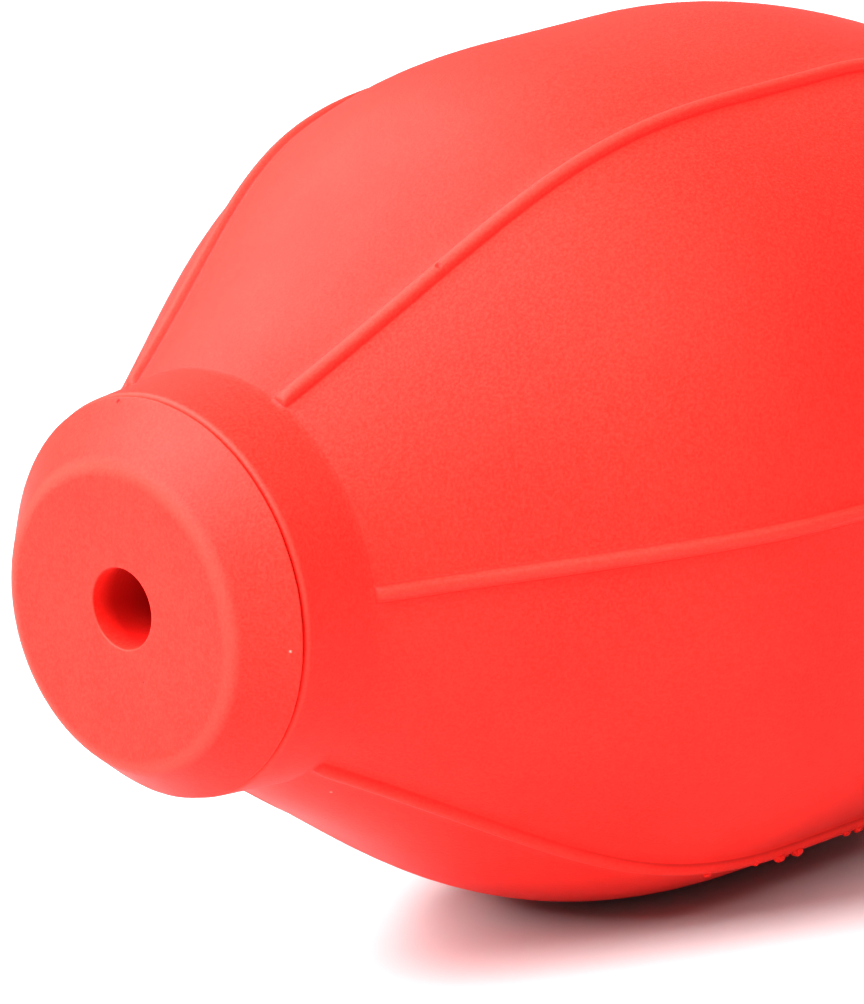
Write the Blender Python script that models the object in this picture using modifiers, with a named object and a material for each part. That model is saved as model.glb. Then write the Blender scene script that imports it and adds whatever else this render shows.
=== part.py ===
"""Dust blower bulb: a ribbed rubber bulb lying on its side, with a one-way air intake in its rear neck and
a push-fit nozzle in its front neck. Run it with blender --background --python part.py. Lengths are metres.

+X runs along the bulb from the intake to the nozzle, +Z is up, and the origin is on the table under the
middle of the whole length. Nearly every piece is turned about the bulb's axis, so its profile is a list of
(s, r): s is the distance from the rear face of the intake cap, and r the distance from the axis.
"""

import math

import bmesh
import bpy

# Clearances
GAP = 0.0003              # between pieces that touch
SEAL_GAP = 0.00015        # between a ball or an O-ring and what it seals against

# Rubber bulb
BULB_RADIUS = 0.025       # at the belly
REAR_HALF = 0.0348        # belly to rear neck
FRONT_HALF = 0.0372       # belly to front neck
BELLY_FLAT = 0.0045       # half length of the straight stretch that the bulb lies on
BULB_WALL = 0.0022
REAR_SLOPE = math.radians(31)     # of the skin where it leaves the rear neck
REAR_HANDLES = (0.0160, 0.0133)   # of the skin's curve, at the neck and at the belly
FRONT_SLOPE = math.radians(48)
FRONT_HANDLES = (0.0100, 0.0115)
REAR_NECK_RADIUS = 0.0118  # where the skin leaves it
REAR_NECK_TAPER = 0.0004   # from there in to the rim that meets the cap
REAR_NECK_LENGTH = 0.0048
FRONT_NECK_RADIUS = 0.0095
FRONT_NECK_LENGTH = 0.0060
NECK_CHAMFER = 0.0004

# Moulded ribs
RIB_COUNT = 6
RIB_WIDTH = 0.0011
RIB_HEIGHT = 0.00045
FIRST_RIB = math.radians(30)      # from straight up

# Intake cap, a rubber plug
CAP_THICKNESS = 0.0027
CAP_CONE = 0.0032         # from the cap's rim in to its flat rear face
CAP_EDGE = 0.0010         # radius of the rounding between the face and the conical side
INTAKE_RADIUS = 0.0023
INTAKE_DEPTH = 0.0046     # from the rear face to the dust screen
STEM_WALL = 0.0032
BEAD_HEIGHT = 0.0008      # of the beads that hold the cap and the socket in their necks
BEAD_LENGTH = 0.0014

# Dust screen
SCREEN_THICKNESS = 0.0004
SCREEN_HOLE = 0.0004
SCREEN_RING = 0.0013
SCREEN_HOLES = 6          # round the middle one

# Intake valve
PORT_RADIUS = 0.0012
PORT_LENGTH = 0.0010
BALL_RADIUS = 0.0020
BALL_SIDE_GAP = 0.0008
BALL_LIFT = 0.0012
SPRING_RADIUS = 0.00155   # to the middle of the wire
SPRING_WIRE = 0.00018     # radius
SPRING_TURNS = 5
SPRING_SPARE = 0.0008     # left between the turns with the ball fully lifted
RETAINER_LEDGE = 0.0006
RETAINER_THICKNESS = 0.0008
RETAINER_BORE = 0.0010
RETAINER_HOLE = 0.0004
RETAINER_RING = 0.0023
RETAINER_HOLES = 4
LIP_LENGTH = 0.0005
LIP_COVER = 0.0004        # of the retainer's edge
VALVE_WALL = 0.0008
FLANGE_HEIGHT = 0.0015
FLANGE_LENGTH = 0.0010

# Nozzle, its O-ring and its socket
PLUG_RADIUS = 0.0036
PLUG_LENGTH = 0.0105
SOCKET_WALL = 0.0015
COLLAR_STEP = 0.0010      # from the neck's outline in to the socket's collar
COLLAR_LENGTH = 0.0020
RING_WIRE = 0.00055       # radius of the O-ring's section
RING_DEPTH = 0.0052       # from the nozzle's shoulder to the O-ring
GRIP_RADIUS = 0.0062
GRIP_LENGTH = 0.0060
TUBE_LENGTH = 0.0380
TUBE_RADIUS = 0.0034      # where it leaves the grip
TIP_RADIUS = 0.0015
AIR_RADIUS = 0.0018       # of the air way through the plug and the grip
JET_RADIUS = 0.0009       # of the air way at the tip
EDGE = 0.0003             # chamfer on turned edges

# Facets. BULB_STEPS puts a flat under each rib and one lowest, which the bulb rests on.
BULB_STEPS = 36
PIECE_STEPS = 32
SMALL_STEPS = 24
DRILL_STEPS = 10
SKIN_POINTS = 9           # from each neck to the belly
WALL_POINTS = 6           # the same inside
ARC_POINTS = 4
BALL_POINTS = 12
COIL_POINTS = 14          # a turn


def arc(centre, radius, start, end, count):
    """Points of an arc in the (s, r) plane. Angles turn from +s towards +r, in degrees."""
    angles = [math.radians(start + (end - start) * i / count) for i in range(count + 1)]
    return [(centre[0] + radius * math.cos(a), centre[1] + radius * math.sin(a)) for a in angles]


def tangent_angle(centre, radius, point):
    """Where an arc ends so that a straight side runs on from it to this point, in degrees."""
    along, out = point[0] - centre[0], point[1] - centre[1]
    return math.degrees(math.atan2(out, along) + math.acos(radius / math.hypot(along, out)))


def cubic(handles, count):
    """count + 1 points of the cubic curve with these four control points."""
    points = []
    for i in range(count + 1):
        t = i / count
        weights = ((1 - t) ** 3, 3 * t * (1 - t) ** 2, 3 * t * t * (1 - t), t ** 3)
        points.append(tuple(sum(w * p[k] for w, p in zip(weights, handles)) for k in (0, 1)))
    return points


def half_skin(neck_s, neck_radius, belly_s, slope, handles, inset, count):
    """The bulb's profile from a neck to the belly's straight stretch, inset by a wall's thickness."""
    way = 1 if belly_s > neck_s else -1
    along, out = math.cos(slope), math.sin(slope)
    neck = (neck_s + way * inset * out, neck_radius - inset * along)
    flat = (belly_s - way * BELLY_FLAT, BULB_RADIUS - inset)
    near_neck = (neck[0] + way * handles[0] * along, neck[1] + handles[0] * out)
    near_flat = (flat[0] - way * handles[1], flat[1])
    return cubic((neck, near_neck, near_flat, flat), count)


def rear_skin(inset, count):
    return half_skin(REAR_JOINT, REAR_NECK_RADIUS, BELLY, REAR_SLOPE, REAR_HANDLES, inset, count)


def front_skin(inset, count):
    return half_skin(FRONT_JOINT, FRONT_NECK_RADIUS, BELLY, FRONT_SLOPE, FRONT_HANDLES, inset, count)


def inner_wall(half, bore):
    """The bulb's inner profile from the end of a neck's land, where a bead has room, to the belly."""
    fine = 4 * WALL_POINTS
    roomy = [point for point in half(BULB_WALL, fine) if point[1] > bore + BEAD_HEIGHT]
    return roomy[:1] + roomy[4:-2:4] + roomy[-1:]


# Radii of the rear end, from the neck's root to the cap's flat face
REAR_RIM_RADIUS = REAR_NECK_RADIUS - REAR_NECK_TAPER
CAP_FACE_RADIUS = REAR_RIM_RADIUS - CAP_CONE

# Radii inside, from the innermost piece outwards
CHAMBER_RADIUS = BALL_RADIUS + BALL_SIDE_GAP
RETAINER_RADIUS = CHAMBER_RADIUS + RETAINER_LEDGE
VALVE_RADIUS = RETAINER_RADIUS + GAP + VALVE_WALL
POCKET_RADIUS = VALVE_RADIUS + GAP
STEM_RADIUS = POCKET_RADIUS + STEM_WALL
REAR_BORE = STEM_RADIUS + GAP
SOCKET_BORE = PLUG_RADIUS + GAP
SOCKET_RADIUS = SOCKET_BORE + SOCKET_WALL
FRONT_BORE = SOCKET_RADIUS + GAP

# Stations along the axis, from the rear face to the nozzle's tip
NECK_START = CAP_THICKNESS + GAP
REAR_JOINT = NECK_START + REAR_NECK_LENGTH
BELLY = REAR_JOINT + REAR_HALF
FRONT_JOINT = BELLY + FRONT_HALF
NECK_END = FRONT_JOINT + FRONT_NECK_LENGTH
COLLAR_START = NECK_END + GAP
SHOULDER = COLLAR_START + COLLAR_LENGTH + GAP
TUBE_START = SHOULDER + GRIP_LENGTH
TIP = TUBE_START + TUBE_LENGTH
REAR_WALL = inner_wall(rear_skin, REAR_BORE)
FRONT_WALL = inner_wall(front_skin, FRONT_BORE)
STEM_END = REAR_WALL[0][0] + GAP + BEAD_LENGTH
SOCKET_START = FRONT_WALL[0][0] - GAP - BEAD_LENGTH
SCREEN_START = INTAKE_DEPTH + GAP
VALVE_START = SCREEN_START + SCREEN_THICKNESS + GAP
SEAT_START = VALVE_START + PORT_LENGTH
BALL_CENTRE = SEAT_START - PORT_RADIUS + (BALL_RADIUS + SEAL_GAP) * math.sqrt(2)
SPRING_REACH = math.sqrt(BALL_RADIUS ** 2 - (SPRING_RADIUS - SPRING_WIRE) ** 2)
SPRING_START = BALL_CENTRE + SPRING_REACH + GAP + SPRING_WIRE
SPRING_LENGTH = BALL_LIFT + 2 * SPRING_WIRE * SPRING_TURNS + SPRING_SPARE
RETAINER_START = SPRING_START + SPRING_LENGTH + SPRING_WIRE + GAP
LIP_START = RETAINER_START + RETAINER_THICKNESS + GAP


def collection(name):
    made = bpy.data.collections.new(name)
    bpy.context.scene.collection.children.link(made)
    return made


def material(name, colour, roughness, metallic=0.0):
    made = bpy.data.materials.new(name)
    made.use_nodes = True
    surface = made.node_tree.nodes["Principled BSDF"]
    surface.inputs["Base Color"].default_value = (*colour, 1.0)
    surface.inputs["Roughness"].default_value = roughness
    surface.inputs["Metallic"].default_value = metallic
    return made


def axis_empty(home):
    """An empty on the bulb's axis at the rear face. Its Z runs along the axis, so a child's Z is its s."""
    axis = bpy.data.objects.new("bulb_axis", None)
    axis.location = (-TIP / 2, 0.0, BULB_RADIUS)
    axis.rotation_euler = (0.0, math.pi / 2, 0.0)
    home.objects.link(axis)
    return axis


def helper(cutter):
    cutter.hide_render = True
    cutter.display_type = "WIRE"
    return cutter


def turned(name, profile, look, home, axis, origin=0.0, steps=PIECE_STEPS, closed=True):
    """A piece turned about the axis, its origin at station origin. The radii are those of its flats."""
    following = profile[1:] + profile[:1]
    area = sum(a[0] * b[1] - b[0] * a[1] for a, b in zip(profile, following))
    if area < 0:
        profile = profile[::-1]
    half_flat = math.tan(math.pi / steps)
    points = [(r, r * half_flat, s - origin) for s, r in profile]
    edges = [(i, i + 1) for i in range(len(points) - 1)]
    if closed:
        edges.append((len(points) - 1, 0))
    mesh = bpy.data.meshes.new(name)
    mesh.from_pydata(points, edges, [])
    mesh.materials.append(look)
    piece = bpy.data.objects.new(name, mesh)
    piece.parent = axis
    piece.location = (0.0, 0.0, origin)
    screw = piece.modifiers.new("Turned", "SCREW")
    screw.steps = steps
    screw.render_steps = steps
    screw.use_merge_vertices = True
    screw.merge_threshold = 0.00001
    screw.use_smooth_shade = True
    home.objects.link(piece)
    return piece


def wire(name, lines, radius, look, home, axis):
    """A round wire along each of these lines of points, with closed ends."""
    curve = bpy.data.curves.new(name, "CURVE")
    curve.dimensions = "3D"
    curve.bevel_depth = radius
    curve.bevel_resolution = 2
    curve.use_fill_caps = True
    curve.materials.append(look)
    for line in lines:
        spline = curve.splines.new("POLY")
        spline.points.add(len(line) - 1)
        for knot, point in zip(spline.points, line):
            knot.co = (*point, 1.0)
    piece = bpy.data.objects.new(name, curve)
    piece.parent = axis
    home.objects.link(piece)
    return piece


def as_mesh(piece, axis):
    """The curve object as a mesh object, with its caps welded."""
    bpy.context.view_layer.update()
    graph = bpy.context.evaluated_depsgraph_get()
    mesh = bpy.data.meshes.new_from_object(piece.evaluated_get(graph))
    shell = bmesh.new()
    shell.from_mesh(mesh)
    bmesh.ops.remove_doubles(shell, verts=shell.verts, dist=0.000001)
    bmesh.ops.recalc_face_normals(shell, faces=shell.faces)
    shell.to_mesh(mesh)
    shell.free()
    made = bpy.data.objects.new(piece.name + "_mesh", mesh)
    made.parent = axis
    made.matrix_world = piece.matrix_world
    for home in piece.users_collection:
        home.objects.link(made)
    bpy.data.objects.remove(piece)
    return made


def around(count, radius, first=0.0):
    """Places evenly spaced round the axis."""
    angles = [first + math.tau * i / count for i in range(count)]
    return [(radius * math.cos(a), radius * math.sin(a)) for a in angles]


def drilled(piece, places, radius, start, length, cutters, axis):
    """Cuts round holes along the axis through a piece."""
    drill = bmesh.new()
    for x, y in places:
        depth = length + 2 * GAP
        made = bmesh.ops.create_cone(
            drill, cap_ends=True, segments=DRILL_STEPS, radius1=radius, radius2=radius, depth=depth
        )
        bmesh.ops.translate(drill, verts=made["verts"], vec=(x, y, length / 2))
    mesh = bpy.data.meshes.new(piece.name + "_drill")
    drill.to_mesh(mesh)
    drill.free()
    cutter = helper(bpy.data.objects.new(piece.name + "_drill", mesh))
    cutter.parent = axis
    cutter.location = (0.0, 0.0, start)
    cutters.objects.link(cutter)
    holes = piece.modifiers.new("Holes", "BOOLEAN")
    holes.object = cutter


def make_bulb(look, home, cutters, axis):
    """Both necks, the skin and the wall in one moulding, with the ribs joined to it."""
    mouth = REAR_RIM_RADIUS - NECK_CHAMFER
    profile = [(NECK_START, REAR_BORE), (NECK_START, mouth), (NECK_START + NECK_CHAMFER, REAR_RIM_RADIUS)]
    profile += rear_skin(0.0, SKIN_POINTS) + front_skin(0.0, SKIN_POINTS)[::-1]
    mouth = FRONT_NECK_RADIUS - NECK_CHAMFER
    profile += [(NECK_END - NECK_CHAMFER, FRONT_NECK_RADIUS), (NECK_END, mouth), (NECK_END, FRONT_BORE)]
    profile += [(FRONT_WALL[0][0], FRONT_BORE)] + FRONT_WALL + REAR_WALL[::-1]
    profile += [(REAR_WALL[0][0], REAR_BORE)]
    bulb = turned("bulb", profile, look, home, axis, steps=BULB_STEPS)
    joined = bulb.modifiers.new("Ribs", "BOOLEAN")
    joined.operation = "UNION"
    joined.object = make_ribs(look, cutters, axis)
    return bulb


def make_ribs(look, cutters, axis):
    """The ribs run from neck to neck over the skin, each a half-sunk bead."""
    sunk = RIB_WIDTH / 2 - RIB_HEIGHT
    line = rear_skin(sunk, SKIN_POINTS) + front_skin(sunk, SKIN_POINTS)[::-1]
    ribs = []
    for x, y in around(RIB_COUNT, 1.0, FIRST_RIB):
        ribs.append([(r * x, r * y, s) for s, r in line])
    return helper(as_mesh(wire("ribs", ribs, RIB_WIDTH / 2, look, cutters, axis), axis))


def make_intake_cap(look, home, axis):
    """A flange with a conical side, as wide as the neck's rim, and a stem that holds the valve."""
    bead = STEM_RADIUS + BEAD_HEIGHT
    rim = (CAP_THICKNESS, REAR_RIM_RADIUS)
    edge = (CAP_EDGE, CAP_FACE_RADIUS)
    profile = [(0.0, INTAKE_RADIUS)]
    profile += arc(edge, CAP_EDGE, 180, tangent_angle(edge, CAP_EDGE, rim), ARC_POINTS)
    profile += [
        rim,
        (CAP_THICKNESS, STEM_RADIUS),
        (STEM_END - BEAD_LENGTH, STEM_RADIUS),
        (STEM_END - BEAD_LENGTH, bead),
        (STEM_END - BEAD_LENGTH / 2, bead),
        (STEM_END, STEM_RADIUS),
        (STEM_END, POCKET_RADIUS),
        (INTAKE_DEPTH, POCKET_RADIUS),
        (INTAKE_DEPTH, INTAKE_RADIUS),
    ]
    return turned("intake_cap", profile, look, home, axis)


def make_dust_screen(look, home, cutters, axis):
    end = SCREEN_START + SCREEN_THICKNESS
    profile = [(SCREEN_START, 0.0), (SCREEN_START, VALVE_RADIUS), (end, VALVE_RADIUS), (end, 0.0)]
    screen = turned("dust_screen", profile, look, home, axis, closed=False)
    places = [(0.0, 0.0)] + around(SCREEN_HOLES, SCREEN_RING)
    drilled(screen, places, SCREEN_HOLE, SCREEN_START, SCREEN_THICKNESS, cutters, axis)
    return screen


def make_valve_body(look, home, axis):
    """A cartridge with a conical seat, a chamber for the ball and a lip rolled over the retainer."""
    flange_start = STEM_END + GAP
    flange_end = flange_start + FLANGE_LENGTH
    flange = VALVE_RADIUS + FLANGE_HEIGHT
    end = LIP_START + LIP_LENGTH
    lip = RETAINER_RADIUS - LIP_COVER
    profile = [
        (VALVE_START, PORT_RADIUS),
        (VALVE_START, VALVE_RADIUS - EDGE),
        (VALVE_START + EDGE, VALVE_RADIUS),
        (flange_start, VALVE_RADIUS),
        (flange_start, flange),
        (flange_end, flange),
        (flange_end, VALVE_RADIUS),
        (end - EDGE, VALVE_RADIUS),
        (end, VALVE_RADIUS - EDGE),
        (end, lip),
        (LIP_START, lip),
        (LIP_START, RETAINER_RADIUS + GAP),
        (RETAINER_START - GAP, RETAINER_RADIUS + GAP),
        (RETAINER_START - GAP, CHAMBER_RADIUS),
        (SEAT_START + CHAMBER_RADIUS - PORT_RADIUS, CHAMBER_RADIUS),
        (SEAT_START, PORT_RADIUS),
    ]
    return turned("valve_body", profile, look, home, axis)


def make_valve_ball(look, home, axis):
    profile = arc((BALL_CENTRE, 0.0), BALL_RADIUS, 180, 0, BALL_POINTS)
    profile[0] = (profile[0][0], 0.0)
    profile[-1] = (profile[-1][0], 0.0)
    return turned("valve_ball", profile, look, home, axis, BALL_CENTRE, SMALL_STEPS, closed=False)


def make_valve_spring(look, home, axis):
    """A coil between the ball and the retainer."""
    coil = []
    for i in range(SPRING_TURNS * COIL_POINTS + 1):
        turn = i / COIL_POINTS
        x, y = SPRING_RADIUS * math.cos(math.tau * turn), SPRING_RADIUS * math.sin(math.tau * turn)
        coil.append((x, y, SPRING_START + SPRING_LENGTH * turn / SPRING_TURNS))
    return wire("valve_spring", [coil], SPRING_WIRE, look, home, axis)


def make_valve_retainer(look, home, cutters, axis):
    """A washer that the spring stands on, with holes for the air."""
    end = RETAINER_START + RETAINER_THICKNESS
    profile = [(RETAINER_START, RETAINER_BORE), (RETAINER_START, RETAINER_RADIUS)]
    profile += [(end, RETAINER_RADIUS), (end, RETAINER_BORE)]
    retainer = turned("valve_retainer", profile, look, home, axis, steps=SMALL_STEPS)
    places = around(RETAINER_HOLES, RETAINER_RING)
    drilled(retainer, places, RETAINER_HOLE, RETAINER_START, RETAINER_THICKNESS, cutters, axis)
    return retainer


def make_nozzle_socket(look, home, axis):
    """A rigid sleeve in the front neck, held by its bead inside and its collar outside."""
    bead = SOCKET_RADIUS + BEAD_HEIGHT
    collar = FRONT_NECK_RADIUS - COLLAR_STEP
    end = COLLAR_START + COLLAR_LENGTH
    profile = [
        (SOCKET_START, SOCKET_BORE),
        (SOCKET_START, SOCKET_RADIUS),
        (SOCKET_START + BEAD_LENGTH / 2, bead),
        (SOCKET_START + BEAD_LENGTH, bead),
        (SOCKET_START + BEAD_LENGTH, SOCKET_RADIUS),
        (COLLAR_START, SOCKET_RADIUS),
        (COLLAR_START, collar),
        (end - EDGE, collar),
        (end, collar - EDGE),
        (end, SOCKET_BORE),
    ]
    return turned("nozzle_socket", profile, look, home, axis, FRONT_JOINT)


def make_nozzle(look, home, socket):
    """A plug with a groove for the O-ring, a grip and a tapered tube, with an air way right through."""
    plug_start = SHOULDER - PLUG_LENGTH
    ring = SHOULDER - RING_DEPTH
    groove = RING_WIRE + SEAL_GAP
    groove_floor = SOCKET_BORE - 2 * (RING_WIRE + SEAL_GAP)
    profile = [
        (plug_start, AIR_RADIUS),
        (plug_start, PLUG_RADIUS - EDGE),
        (plug_start + EDGE, PLUG_RADIUS),
        (ring - groove, PLUG_RADIUS),
        (ring - groove, groove_floor),
        (ring + groove, groove_floor),
        (ring + groove, PLUG_RADIUS),
        (SHOULDER, PLUG_RADIUS),
        (SHOULDER, GRIP_RADIUS - EDGE),
        (SHOULDER + EDGE, GRIP_RADIUS),
    ]
    hollow = GRIP_RADIUS - TUBE_RADIUS
    profile += arc((TUBE_START, GRIP_RADIUS), hollow, 180, 270, ARC_POINTS)
    profile += [
        (TIP - EDGE, TIP_RADIUS),
        (TIP, TIP_RADIUS - EDGE),
        (TIP, JET_RADIUS),
        (TUBE_START, AIR_RADIUS),
    ]
    nozzle = turned("nozzle", profile, look, home, socket, steps=SMALL_STEPS)
    nozzle.location = (0.0, 0.0, -FRONT_JOINT)
    return nozzle


def make_nozzle_seal(look, home, nozzle):
    bpy.ops.mesh.primitive_torus_add(
        major_segments=PIECE_STEPS,
        minor_segments=8,
        major_radius=SOCKET_BORE - SEAL_GAP - RING_WIRE,
        minor_radius=RING_WIRE,
        location=(0.0, 0.0, 0.0),
    )
    seal = bpy.context.object
    seal.name = "nozzle_seal"
    seal.data.name = "nozzle_seal"
    seal.data.materials.append(look)
    seal.data.shade_smooth()
    seal.parent = nozzle
    seal.location = (0.0, 0.0, SHOULDER - RING_DEPTH)
    for old in seal.users_collection:
        old.objects.unlink(seal)
    home.objects.link(seal)
    return seal


def main():
    for old in list(bpy.data.objects):
        bpy.data.objects.remove(old, do_unlink=True)
    home = collection("dust_blower_bulb")
    cutters = collection("cutters")
    axis = axis_empty(home)
    red_rubber = material("red_rubber", (0.85, 0.045, 0.03), 0.6)
    black_rubber = material("black_rubber", (0.03, 0.03, 0.03), 0.6)
    black_plastic = material("black_plastic", (0.02, 0.02, 0.022), 0.45)
    aluminium = material("aluminium", (0.72, 0.73, 0.75), 0.3, 1.0)
    brass = material("brass", (0.72, 0.5, 0.2), 0.35, 1.0)
    steel = material("steel", (0.6, 0.6, 0.6), 0.25, 1.0)
    make_bulb(red_rubber, home, cutters, axis)
    make_intake_cap(red_rubber, home, axis)
    make_dust_screen(steel, home, cutters, axis)
    make_valve_body(brass, home, axis)
    make_valve_ball(steel, home, axis)
    make_valve_spring(steel, home, axis)
    make_valve_retainer(brass, home, cutters, axis)
    socket = make_nozzle_socket(aluminium, home, axis)
    nozzle = make_nozzle(black_plastic, home, socket)
    make_nozzle_seal(black_rubber, home, nozzle)


main()
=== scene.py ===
import math
import random

import bmesh
import bpy
from mathutils import Matrix, Vector
from mathutils.noise import hetero_terrain


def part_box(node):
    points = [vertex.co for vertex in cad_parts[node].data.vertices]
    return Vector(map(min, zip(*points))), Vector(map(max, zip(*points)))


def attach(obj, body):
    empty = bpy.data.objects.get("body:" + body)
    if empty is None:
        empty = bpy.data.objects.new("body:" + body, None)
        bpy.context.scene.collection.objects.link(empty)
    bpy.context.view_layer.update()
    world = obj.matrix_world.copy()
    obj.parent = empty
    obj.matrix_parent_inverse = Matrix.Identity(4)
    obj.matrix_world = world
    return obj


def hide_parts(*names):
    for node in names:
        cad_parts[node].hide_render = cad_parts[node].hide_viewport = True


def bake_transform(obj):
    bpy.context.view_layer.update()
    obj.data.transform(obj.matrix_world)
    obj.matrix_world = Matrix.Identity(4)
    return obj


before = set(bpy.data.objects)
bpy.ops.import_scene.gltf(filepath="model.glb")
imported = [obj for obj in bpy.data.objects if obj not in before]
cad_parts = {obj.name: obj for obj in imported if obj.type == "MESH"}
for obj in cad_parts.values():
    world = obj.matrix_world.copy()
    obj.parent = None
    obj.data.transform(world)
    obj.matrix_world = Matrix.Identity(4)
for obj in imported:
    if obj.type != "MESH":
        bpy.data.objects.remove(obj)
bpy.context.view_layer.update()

mm = 0.001
weldReach = 0.001 * mm
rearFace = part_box("intake_cap")[0].x  # stations are counted from here towards the nozzle's tip
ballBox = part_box("valve_ball")
axisHeight = (ballBox[0].z + ballBox[1].z) / 2
axisSpot = Vector((rearFace, 0.0, axisHeight))


# node tree helpers, for materials and for geometry

def feed(tree, socket, value):
    if isinstance(value, bpy.types.NodeSocket):
        tree.links.new(value, socket)
    elif value is not None:
        socket.default_value = value


def addNode(tree, kind, inputs=None, **settings):
    made = tree.nodes.new(kind)
    made.location = (190 * (len(tree.nodes) % 9), -230 * (len(tree.nodes) // 9))
    for key, value in settings.items():
        setattr(made, key, value)
    for key, value in (inputs or {}).items():
        feed(tree, made.inputs[key], value)
    return made


def twoIn(tree, kind, operation, first, second):
    made = addNode(tree, kind, operation=operation)
    for socket, value in zip(made.inputs, (first, second)):
        feed(tree, socket, value)
    return made.outputs


def calc(tree, operation, first, second=None):
    return twoIn(tree, "ShaderNodeMath", operation, first, second)[0]


def wholeCalc(tree, operation, first, second):
    return twoIn(tree, "FunctionNodeIntegerMath", operation, first, second)[0]


def remap(tree, value, fromLow, fromHigh, toLow, toHigh):
    return addNode(tree, "ShaderNodeMapRange", {
        "Value": value, "From Min": fromLow, "From Max": fromHigh, "To Min": toLow, "To Max": toHigh,
    }).outputs[0]


def vector(tree, x, y, z):
    return addNode(tree, "ShaderNodeCombineXYZ", {"X": x, "Y": y, "Z": z}).outputs[0]


def newGeometryTree(name, wanted):
    tree = bpy.data.node_groups.new(name, "GeometryNodeTree")
    for label, kind in wanted:
        tree.interface.new_socket(label, in_out="INPUT", socket_type="NodeSocket" + kind)
    tree.interface.new_socket("Geometry", in_out="OUTPUT", socket_type="NodeSocketGeometry")
    start = tree.nodes.new("NodeGroupInput")
    return tree, start.outputs


def finishTree(tree, geometry, finish):
    smooth = addNode(tree, "GeometryNodeSetShadeSmooth", {"Geometry": geometry})
    real = addNode(tree, "GeometryNodeRealizeInstances", {"Geometry": smooth.outputs[0]})
    painted = addNode(tree, "GeometryNodeSetMaterial", {"Geometry": real.outputs[0], "Material": finish})
    end = addNode(tree, "NodeGroupOutput")
    tree.links.new(painted.outputs[0], end.inputs[0])


def setPoints(tree, source, spot, centre):
    place = twoIn(tree, "ShaderNodeVectorMath", "ADD", spot, centre)[0]
    return addNode(tree, "GeometryNodeSetPosition", {"Geometry": source.outputs[0], "Position": place})


def copyTo(tree, places, shape):
    copies = addNode(tree, "GeometryNodeInstanceOnPoints", {
        "Points": places.outputs[0], "Instance": shape.outputs[0]})
    return addNode(tree, "GeometryNodeRealizeInstances", {"Geometry": copies.outputs[0]})


def gather(tree, sources):
    made = addNode(tree, "GeometryNodeJoinGeometry")
    for source in sources:
        tree.links.new(source.outputs[0], made.inputs[0])
    return made


def circle(tree, points, radius):
    return addNode(tree, "GeometryNodeCurvePrimitiveCircle", {"Resolution": points, "Radius": radius})


def weld(tree, source):
    return addNode(tree, "GeometryNodeMergeByDistance", {
        "Geometry": source.outputs[0], "Distance": weldReach}).outputs[0]


def addObject(name, data):
    made = bpy.data.objects.new(name, data)
    bpy.context.scene.collection.objects.link(made)
    return made


def growPiece(name, tree, values, mesh=None):
    # runs a tree on a mesh and keeps only the plain result
    mesh = mesh or bpy.data.meshes.new(name + "Seed")
    grower = addObject(name + "Grower", mesh)
    modifier = grower.modifiers.new("Grow", "NODES")
    modifier.node_group = tree
    for item in tree.interface.items_tree:
        if item.in_out == "INPUT" and item.name in values:
            modifier[item.identifier] = values[item.name]
    grower.update_tag()
    graph = bpy.context.evaluated_depsgraph_get()
    grown = bpy.data.meshes.new_from_object(
        grower.evaluated_get(graph), preserve_all_data_layers=True, depsgraph=graph)
    grown.name = name
    bpy.data.objects.remove(grower)
    bpy.data.meshes.remove(mesh)
    piece = addObject(name, grown)
    faceOut(piece)
    return piece


def faceOut(piece):
    shell = bmesh.new()
    shell.from_mesh(piece.data)
    bmesh.ops.recalc_face_normals(shell, faces=shell.faces)
    if shell.calc_volume(signed=True) < 0:
        bmesh.ops.reverse_faces(shell, faces=shell.faces)
    shell.to_mesh(piece.data)
    shell.free()


def joinPieces(name, pieces):
    # every piece takes the finish of the first one
    joined = bmesh.new()
    for piece in pieces:
        joined.from_mesh(piece.data)
    for face in joined.faces:
        face.material_index = 0
    mesh = bpy.data.meshes.new(name)
    joined.to_mesh(mesh)
    joined.free()
    mesh.materials.append([look for look in pieces[0].data.materials if look][0])
    for piece in pieces:
        old = piece.data
        bpy.data.objects.remove(piece)
        bpy.data.meshes.remove(old)
    return addObject(name, mesh)


# outlines: a turned piece is drawn as stations and radii in millimetres

def roundOff(corners, steps=5, spacing=1.2):
    # corners are (station, radius, rounding). Every row that comes back is (station, radius, wear)
    rows = []
    count = len(corners)
    for i, (s, r, rounding) in enumerate(corners):
        here = Vector((s, r))
        before = Vector(corners[i - 1][:2]) - here
        after = Vector(corners[(i + 1) % count][:2]) - here
        if not rounding:
            rows.append((s, r, 0.0))
            continue
        half = before.angle(after) / 2
        reach = min(rounding / math.tan(half), 0.48 * min(before.length, after.length))
        first, last = here + before.normalized() * reach, here + after.normalized() * reach
        pull = math.sin(half)
        for k in range(steps + 1):
            t = k / steps
            weights = ((1 - t) ** 2, 2 * pull * t * (1 - t), t * t)
            spot = (weights[0] * first + weights[1] * here + weights[2] * last) / sum(weights)
            rows.append((spot.x, spot.y, math.sin(math.pi * t)))
    filled = []
    for i, row in enumerate(rows):
        following = rows[(i + 1) % len(rows)]
        filled.append(row)
        gap = (Vector(following[:2]) - Vector(row[:2])).length
        extra = int(gap / spacing)
        for k in range(1, extra + 1):
            t = k / (extra + 1)
            filled.append((row[0] + (following[0] - row[0]) * t, row[1] + (following[1] - row[1]) * t, 0.0))
    return filled


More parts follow.
